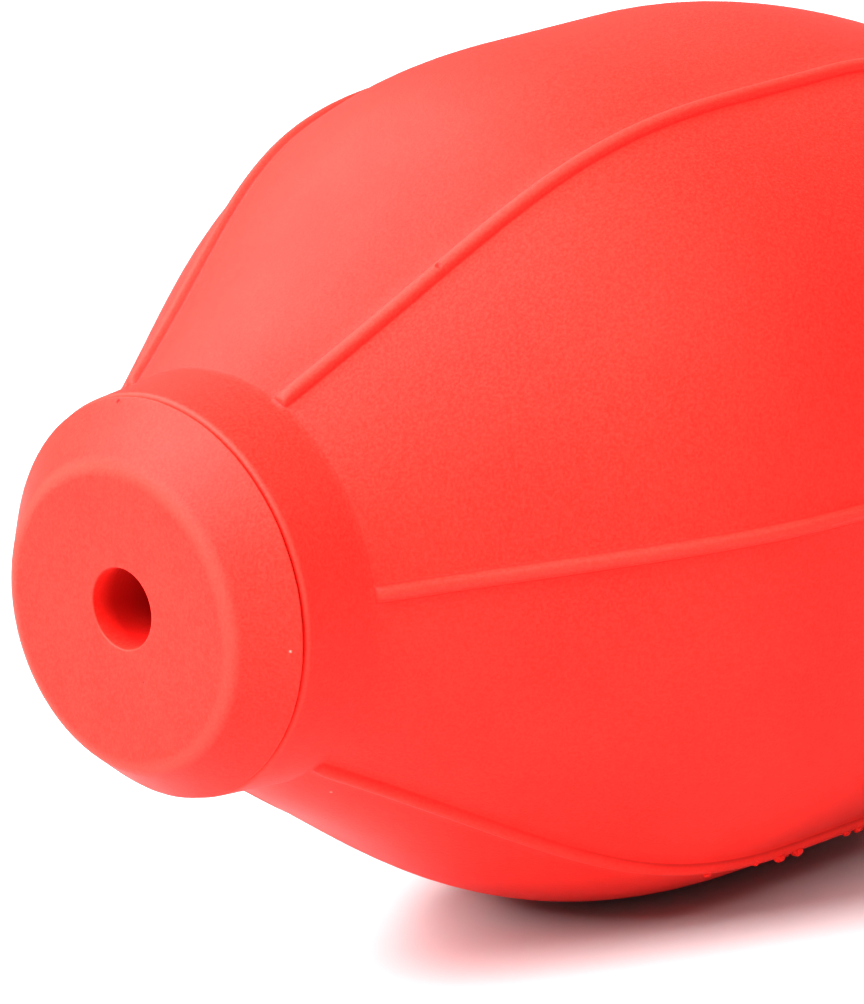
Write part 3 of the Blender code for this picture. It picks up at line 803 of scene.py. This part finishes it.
def gauzeTree():
    tree, given = newGeometryTree("woven gauze", (
        ("Wires Each Way", "Int"), ("Pitch", "Float"), ("Wire Radius", "Float"), ("Disc Radius", "Float"),
        ("Points On Wire", "Int"), ("Centre", "Vector"), ("Finish", "Material"),
    ))
    line = addNode(tree, "GeometryNodeMeshLine", {"Count": given["Points On Wire"]})
    wires = wholeCalc(tree, "MULTIPLY", given["Wires Each Way"], 2)
    copies = addNode(tree, "GeometryNodeMeshLine", {"Count": wires})
    loose = copyTo(tree, copies, line)
    index = addNode(tree, "GeometryNodeInputIndex").outputs[0]
    wire = wholeCalc(tree, "DIVIDE_FLOOR", index, given["Points On Wire"])
    step = wholeCalc(tree, "MODULO", index, given["Points On Wire"])
    weft = wholeCalc(tree, "DIVIDE_FLOOR", wire, given["Wires Each Way"])
    number = wholeCalc(tree, "MODULO", wire, given["Wires Each Way"])
    middle = calc(tree, "MULTIPLY", wholeCalc(tree, "SUBTRACT", given["Wires Each Way"], 1), 0.5)
    aside = calc(tree, "MULTIPLY", calc(tree, "SUBTRACT", number, middle), given["Pitch"])
    chord = calc(tree, "SQRT", calc(tree, "SUBTRACT", calc(tree, "POWER", given["Disc Radius"], 2.0),
                                    calc(tree, "POWER", aside, 2.0)))
    share = remap(tree, step, 0.0, wholeCalc(tree, "SUBTRACT", given["Points On Wire"], 1), -1.0, 1.0)
    along = calc(tree, "MULTIPLY", share, chord)
    # over one wire and under the next, the other way round on the neighbours
    beat = calc(tree, "ADD", calc(tree, "DIVIDE", along, given["Pitch"]), middle)
    beat = calc(tree, "ADD", calc(tree, "ADD", beat, number), weft)
    wave = calc(tree, "COSINE", calc(tree, "MULTIPLY", beat, math.pi))
    lift = calc(tree, "MULTIPLY", wave, given["Wire Radius"])
    flip = addNode(tree, "GeometryNodeSwitch", input_type="VECTOR")
    feed(tree, flip.inputs["Switch"], calc(tree, "GREATER_THAN", weft, 0.5))
    feed(tree, flip.inputs["False"], vector(tree, lift, aside, along))
    feed(tree, flip.inputs["True"], vector(tree, lift, along, aside))
    bent = setPoints(tree, loose, flip.outputs[0], given["Centre"])
    finishTree(tree, wireAlong(tree, bent, given["Wire Radius"], 6), given["Finish"])
    return tree


def makeDustScreen():
    size, rim = gauzeSet, gauzeRimSet
    gauze = growPiece("gauze", gauzeTree(), {
        "Wires Each Way": size["wires"], "Pitch": size["pitch"] * mm, "Wire Radius": size["wire"] * mm,
        "Disc Radius": size["disc"] * mm, "Points On Wire": size["points"],
        "Centre": onAxis(size["station"], 0, 0), "Finish": steel})
    hoop = turn("gauzeRim", roundOff([
        (rim["start"], rim["inner"], 0.12), (rim["start"], rim["outer"], 0.12),
        (rim["end"], rim["outer"], 0.12), (rim["end"], rim["inner"], 0.12),
    ]), steel)
    screen = joinPieces("dustScreen", [hoop, gauze])
    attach(screen, "bulb_body")
    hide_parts("dust_screen")


valveSet = {
    "start": 5.6, "port": 1.2, "portLength": 1.0, "radius": 4.5, "chamber": 2.8,
    "flangeStart": 10.93, "flange": 6.0, "flangeLength": 1.0,
    "retainerStart": 14.66, "retainer": 3.4, "end": 16.26, "lip": 3.0, "lipLength": 0.5, "edge": 0.25,
    "room": 0.3,      # round the retainer
}
# grooves that hold the rubber stem
barbSet = {
    "first": 6.9, "pitch": 0.75, "count": 5, "depth": 0.18, "steep": 0.05, "length": 0.45, "edge": 0.05,
}


def makeValveBody():
    size, barb = valveSet, barbSet
    seat = size["start"] + size["portLength"]
    lipStart = size["end"] - size["lipLength"]
    corners = [(size["start"], size["port"], 0.1), (size["start"], size["radius"], size["edge"])]
    for k in range(barb["count"]):
        s = barb["first"] + barb["pitch"] * k
        corners += [
            (s, size["radius"], barb["edge"]),
            (s + barb["steep"], size["radius"] - barb["depth"], barb["edge"]),
            (s + barb["length"], size["radius"], barb["edge"]),
        ]
    corners += [
        (size["flangeStart"], size["radius"], 0.1),
        (size["flangeStart"], size["flange"], 0.15),
        (size["flangeStart"] + size["flangeLength"], size["flange"], 0.15),
        (size["flangeStart"] + size["flangeLength"], size["radius"], 0.1),
        (size["end"], size["radius"], size["edge"]),
        (size["end"], size["lip"], 0.15),
        (lipStart, size["lip"], 0.1),
        (lipStart, size["retainer"] + size["room"], 0.1),
        (size["retainerStart"] - size["room"], size["retainer"] + size["room"], 0.1),
        (size["retainerStart"] - size["room"], size["chamber"], 0.12),
        (seat + size["chamber"] - size["port"], size["chamber"], 0.2),
        (seat, size["port"], 0.08),
    ]
    body = turn("valveBody", roundOff(corners, steps=4, spacing=0.7), brass)
    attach(body, "bulb_body")
    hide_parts("valve_body")


ballSteps = 32


def makeValveBall():
    radius = (ballBox[1].x - ballBox[0].x) / 2 / mm
    centre = ((ballBox[0].x + ballBox[1].x) / 2 - rearFace) / mm
    rows = []
    for k in range(ballSteps + 1):
        turned = math.pi * k / ballSteps
        out = abs(radius * math.sin(turned)) if 0 < k < ballSteps else 0.0
        rows.append((centre - radius * math.cos(turned), out, 0.0))
    ball = turn("valveBall", rows, steel, closed=False)
    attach(ball, "valve_ball")
    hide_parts("valve_ball")


springSet = {"turns": 5, "radius": 1.55, "wire": 0.18, "deadPitch": 0.38, "perTurn": 28}


def coilTree():
    # a compression spring whose last turn at each end lies closed
    tree, given = newGeometryTree("closed coil", (
        ("Turns", "Int"), ("Length", "Float"), ("Coil Radius", "Float"), ("Wire Radius", "Float"),
        ("Dead Pitch", "Float"), ("Points A Turn", "Int"), ("Start", "Vector"), ("Finish", "Material"),
    ))
    points = wholeCalc(tree, "ADD", wholeCalc(tree, "MULTIPLY", given["Turns"], given["Points A Turn"]), 1)
    line = addNode(tree, "GeometryNodeMeshLine", {"Count": points})
    index = addNode(tree, "GeometryNodeInputIndex").outputs[0]
    turns = calc(tree, "DIVIDE", index, given["Points A Turn"])
    lastFree = wholeCalc(tree, "SUBTRACT", given["Turns"], 1)
    free = calc(tree, "SUBTRACT", given["Length"], calc(tree, "MULTIPLY", given["Dead Pitch"], 2.0))
    rise = calc(tree, "ADD", remap(tree, turns, 0.0, 1.0, 0.0, given["Dead Pitch"]),
                remap(tree, turns, 1.0, lastFree, 0.0, free))
    rise = calc(tree, "ADD", rise, remap(tree, turns, lastFree, given["Turns"], 0.0, given["Dead Pitch"]))
    angle = calc(tree, "MULTIPLY", turns, math.tau)
    spot = vector(tree, rise, calc(tree, "MULTIPLY", calc(tree, "SINE", angle), given["Coil Radius"]),
                  calc(tree, "MULTIPLY", calc(tree, "COSINE", angle), given["Coil Radius"]))
    wound = setPoints(tree, line, spot, given["Start"])
    finishTree(tree, wireAlong(tree, wound, given["Wire Radius"], 12), given["Finish"])
    return tree


def makeSpring():
    size = springSet
    low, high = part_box("valve_spring")
    start, end = low.x + size["wire"] * mm, high.x - size["wire"] * mm
    spring = growPiece("valveSpring", coilTree(), {
        "Turns": size["turns"], "Length": end - start, "Coil Radius": size["radius"] * mm,
        "Wire Radius": size["wire"] * mm, "Dead Pitch": size["deadPitch"] * mm,
        "Points A Turn": size["perTurn"], "Start": Vector((start, 0.0, axisHeight)), "Finish": steel})
    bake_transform(spring)
    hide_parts("valve_spring")


retainerSet = {"radius": 3.38, "bore": 1.0, "hole": 0.42, "holeRing": 2.2, "holes": 6, "edge": 0.07}


def drilledPlateTree():
    tree, given = newGeometryTree("drilled plate", (
        ("Radius", "Float"), ("Bore", "Float"), ("Hole Radius", "Float"), ("Hole Ring", "Float"),
        ("Holes", "Int"), ("Thickness", "Float"), ("Centre", "Vector"), ("Finish", "Material"),
    ))
    places = addNode(tree, "GeometryNodeMeshCircle", {
        "Vertices": given["Holes"], "Radius": given["Hole Ring"]})
    drilled = copyTo(tree, places, circle(tree, 20, given["Hole Radius"]))
    lines = gather(tree, (circle(tree, 72, given["Radius"]), circle(tree, 40, given["Bore"]), drilled))
    face = addNode(tree, "GeometryNodeFillCurve", {"Curve": lines.outputs[0]}, mode="NGONS")
    raised = addNode(tree, "GeometryNodeExtrudeMesh", {
        "Mesh": face.outputs[0], "Offset": vector(tree, 0.0, 0.0, given["Thickness"]), "Individual": False})
    under = addNode(tree, "GeometryNodeFlipFaces", {"Mesh": face.outputs[0]})
    both = gather(tree, (raised, under))
    turned = addNode(tree, "GeometryNodeTransform", {
        "Geometry": weld(tree, both), "Translation": given["Centre"], "Rotation": (0.0, math.pi / 2, 0.0)})
    finishTree(tree, turned.outputs[0], given["Finish"])
    return tree


def makeRetainer():
    size = retainerSet
    low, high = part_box("valve_retainer")
    plate = growPiece("valveRetainer", drilledPlateTree(), {
        "Radius": size["radius"] * mm, "Bore": size["bore"] * mm, "Hole Radius": size["hole"] * mm,
        "Hole Ring": size["holeRing"] * mm, "Holes": size["holes"], "Thickness": high.x - low.x,
        "Centre": Vector((low.x, 0.0, axisHeight)), "Finish": brass})
    softened = plate.modifiers.new("Deburr", "BEVEL")
    softened.width = size["edge"] * mm
    softened.segments = 2
    softened.limit_method = "ANGLE"
    graph = bpy.context.evaluated_depsgraph_get()
    finished = bpy.data.meshes.new_from_object(plate.evaluated_get(graph))
    plate.modifiers.clear()
    plate.data = finished
    finished.set_sharp_from_angle(angle=math.radians(40))
    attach(plate, "bulb_body")
    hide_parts("valve_retainer")


makeDustScreen()
makeValveBody()
makeValveBall()
makeSpring()
makeRetainer()
print("intake valve ready")


# the front end: turned socket, push-fit nozzle and its O-ring

socketSet = {
    "bore": 3.9, "radius": 5.4, "bead": 0.8, "beadLength": 1.4, "collarStart": 86.1, "collar": 8.5,
    "collarLength": 2.0, "edge": 0.3,
}
collarKnurl = {"count": 64, "across": 3, "between": 1, "width": 0.62, "height": -0.22, "first": 0.0}


def makeSocket():
    size = socketSet
    start = wallLine("front")[0][0] - beadGap - size["beadLength"]
    end = size["collarStart"] + size["collarLength"]
    bead = size["radius"] + size["bead"]
    rows = roundOff([
        (start, size["bore"], 0.2),
        (start, size["radius"], 0.2),
        (start + size["beadLength"] / 2, bead, 0.3),
        (start + size["beadLength"], bead, 0.15),
        (start + size["beadLength"], size["radius"], 0.1),
        (size["collarStart"], size["radius"], 0.1),
        (size["collarStart"], size["collar"], 0.12),
        (end, size["collar"], size["edge"]),
        (end, size["bore"], 0.3),
    ], steps=5, spacing=0.45)

    def knurlShare(s, r, face):
        if r < size["collar"] - 0.4 or face.y < 0.5:
            return 0.0
        inside = min(s - size["collarStart"] - 0.25, end - 0.35 - s)
        return max(0.0, min(1.0, inside / 0.2))

    socket = turn("nozzleSocket", rows, aluminium, collarKnurl, knurlShare)
    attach(socket, "front_end")
    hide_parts("nozzle_socket")


nozzleSet = {
    "plugStart": 77.9, "plug": 3.6, "shoulder": 88.4, "ring": 83.2, "grooveHalf": 0.7, "grooveFloor": 2.5,
    "grip": 6.2, "tubeStart": 94.4, "tube": 3.4, "tip": 132.4, "tipRadius": 1.5, "air": 1.8, "jet": 0.9,
    "edge": 0.35, "coveSteps": 12,
}
gripFlutes = {"count": 16, "across": 6, "between": 3, "width": 1.35, "height": -0.42, "first": 11.25}
sealSet = {"radius": 3.2, "wire": 0.55, "steps": 24}


def makeNozzle():
    size = nozzleSet
    cove = size["grip"] - size["tube"]
    corners = [
        (size["plugStart"], size["air"], 0.15),
        (size["plugStart"], size["plug"], size["edge"]),
        (size["ring"] - size["grooveHalf"], size["plug"], 0.08),
        (size["ring"] - size["grooveHalf"], size["grooveFloor"], 0.12),
        (size["ring"] + size["grooveHalf"], size["grooveFloor"], 0.12),
        (size["ring"] + size["grooveHalf"], size["plug"], 0.08),
        (size["shoulder"], size["plug"], 0.15),
        (size["shoulder"], size["grip"], size["edge"]),
        (size["tubeStart"] - cove, size["grip"], 0.5),
    ]
    for k in range(1, size["coveSteps"] + 1):
        turned = math.pi / 2 * k / size["coveSteps"]
        back, down = cove * math.cos(turned), cove * math.sin(turned)
        corners.append((size["tubeStart"] - back, size["grip"] - down, 0.0))
    corners += [
        (size["tip"], size["tipRadius"], 0.3),
        (size["tip"], size["jet"], 0.15),
        (size["tubeStart"], size["air"], 0.3),
    ]
    rows = roundOff(corners, steps=6, spacing=0.6)

    def fluteShare(s, r, face):
        if r < size["tube"] + 0.5 or face.y < 0.3:
            return 0.0
        begin = max(0.0, min(1.0, (s - size["shoulder"] - 0.4) / 0.5))
        fade = max(0.0, min(1.0, (r - size["tube"] - 0.5) / 1.6))
        return begin * fade

    nozzle = turn("blowerNozzle", rows, blackPlastic, gripFlutes, fluteShare)
    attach(nozzle, "nozzle")
    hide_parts("nozzle")


def makeSeal():
    size = sealSet
    rows = []
    for k in range(size["steps"]):
        turned = math.tau * k / size["steps"]
        rows.append((nozzleSet["ring"] + size["wire"] * math.cos(turned),
                     size["radius"] + size["wire"] * math.sin(turned), 0.0))
    seal = turn("nozzleSeal", rows, blackRubber)
    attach(seal, "nozzle")
    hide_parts("nozzle_seal")


makeSocket()
makeNozzle()
makeSeal()
print("front end ready")


# floor, light and camera

stageSet = {
    "floor": 1.6,              # half width, metres
    "drop": 0.00002,           # keeps the floor just clear of what lies on it
    "floorColour": (0.56, 0.56, 0.57, 1.0), "fibreColour": (0.53, 0.53, 0.54, 1), "fibre": 1.5,
    "glow": (0.30, 0.75),
    "roomLight": 0.28, "backdrop": 1.3,
    "aim": (-0.03, 0.0),       # the spot under which the lamps cross
    "keyTowards": (-0.70, 0.14, 0.70), "keyDistance": 0.75, "keySize": 0.62, "keyPower": 27.0,
    "fillTowards": (0.05, -0.66, 0.75), "fillDistance": 0.9, "fillSize": 0.7, "fillPower": 5.0,
    "backTowards": (-0.05, 0.60, 0.79), "backDistance": 0.8, "backSize": 0.6, "backPower": 9.0,
}


def makeStage():
    size = stageSet
    half = size["floor"]
    mesh = bpy.data.meshes.new("floor")
    corners = [(-half, -half, 0), (half, -half, 0), (half, half, 0), (-half, half, 0)]
    mesh.from_pydata(corners, [], [(0, 1, 2, 3)])
    floor = addObject("floor", mesh)
    floor.location.z = -size["drop"]
    paper, tree, surface = newFinish("whitePaper")
    fibre = noise(tree, objectPoint(tree), size["fibre"], 3.0)
    fibre = remap(tree, fibre, 0.3, 0.7, 0.0, 0.03)
    shade = mixColours(tree, fibre, size["floorColour"], size["fibreColour"])
    feed(tree, surface.inputs["Base Color"], shade)
    surface.inputs["Roughness"].default_value = 0.9
    # beyond the lamps the paper glows, so that it meets the white backdrop without a line
    away = addNode(tree, "ShaderNodeVectorMath", operation="LENGTH")
    feed(tree, away.inputs[0], objectPoint(tree))
    glow = remap(tree, away.outputs["Value"], *size["glow"], 0.0, 1.0)
    surface.inputs["Emission Color"].default_value = (1.0, 1.0, 1.0, 1.0)
    feed(tree, surface.inputs["Emission Strength"], glow)
    mesh.materials.append(paper)
    world = bpy.data.worlds.new("whiteStudio")
    world.use_nodes = True
    room = world.node_tree.nodes["Background"]
    room.inputs["Color"].default_value = (1.0, 1.0, 1.0, 1.0)
    # the backdrop itself stays white, whatever light it gives
    seen = addNode(world.node_tree, "ShaderNodeLightPath").outputs["Is Camera Ray"]
    strength = remap(world.node_tree, seen, 0.0, 1.0, size["roomLight"], size["backdrop"])
    feed(world.node_tree, room.inputs["Strength"], strength)
    bpy.context.scene.world = world
    for name in ("key", "fill", "back"):
        lamp = bpy.data.lights.new(name + "Softbox", "AREA")
        lamp.shape = "DISK"
        lamp.size = size[name + "Size"]
        lamp.energy = size[name + "Power"]
        box = addObject(name + "Softbox", lamp)
        towards = Vector(size[name + "Towards"]).normalized()
        box.location = Vector((*size["aim"], axisHeight)) + towards * size[name + "Distance"]
        box.rotation_euler = towards.to_track_quat("Z", "Y").to_euler()
        box.visible_camera = False
    bpy.context.scene.view_settings.view_transform = "Standard"


cameraSet = {
    "spot": (-0.35016, -0.31294, 0.11763),
    "towards": (0.687, 0.697, -0.205),
    "tilt": 5.77,     # degrees clockwise
    "lens": 284.2,
}


def makeCamera():
    size = cameraSet
    lens = bpy.data.cameras.new("camera")
    lens.lens = size["lens"]
    lens.clip_start, lens.clip_end = 0.02, 20.0
    camera = addObject("camera", lens)
    level = Vector(size["towards"]).normalized().to_track_quat("-Z", "Y").to_matrix()
    turned = level @ Matrix.Rotation(-math.radians(size["tilt"]), 3, "Z")
    camera.matrix_world = Matrix.Translation(size["spot"]) @ turned.to_4x4()
    bpy.context.scene.camera = camera


makeStage()
makeCamera()
print("stage ready")
